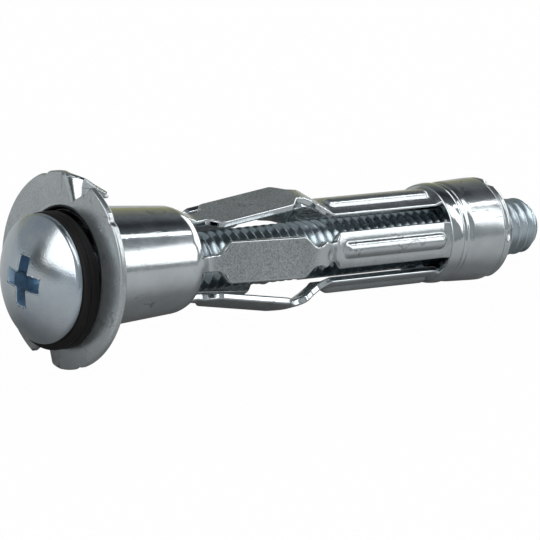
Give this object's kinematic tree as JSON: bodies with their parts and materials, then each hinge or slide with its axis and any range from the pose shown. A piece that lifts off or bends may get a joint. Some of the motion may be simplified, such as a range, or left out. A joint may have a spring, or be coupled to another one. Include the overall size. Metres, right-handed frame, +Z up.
{
  "type": "hollow wall anchor",
  "caption": "Expanding wall anchor: pressed sleeve with a barbed flange, folding legs and a captive nut in its tail, drawn up by a pan head screw with a cross recess.",
  "frame": {"origin": "on the table under the middle of the anchor as it lies on the flange's notch corners and its tail cup", "axes": "+X along the anchor from its head to its tail, +Z up from the table; the sleeve's axis drops by 4.45 degrees toward the tail and the screw's by 4.00"},
  "size_m": [0.0436, 0.013, 0.0129],
  "materials": {
    "sleeve_zinc": "bright zinc plate",
    "nut_zinc": "dull zinc plate",
    "screw_zinc": "bluish zinc plate",
    "ring_black": "satin black"
  },
  "bodies": {
    "anchor": {"sleeve": "sleeve_zinc", "nut": "nut_zinc"},
    "ring": {"ring": "ring_black"},
    "screw": {"screw": "screw_zinc"}
  },
  "joints": [
    {"name": "screw_out", "type": "slide", "parent": "anchor", "child": "ring", "axis": [-0.9976, 0, 0.0698], "range_m": [0, 0.007]},
    {"name": "screw_turn", "type": "hinge", "parent": "ring", "child": "screw", "pos_m": [-0.01994, 0, 0.00597], "axis": [-0.9976, 0, 0.0698], "range_deg": [0, 3601]}
  ],
  "couplings": [
    {"joint": "screw_turn", "follows": "screw_out", "rad_per_m": 8976}
  ]
}
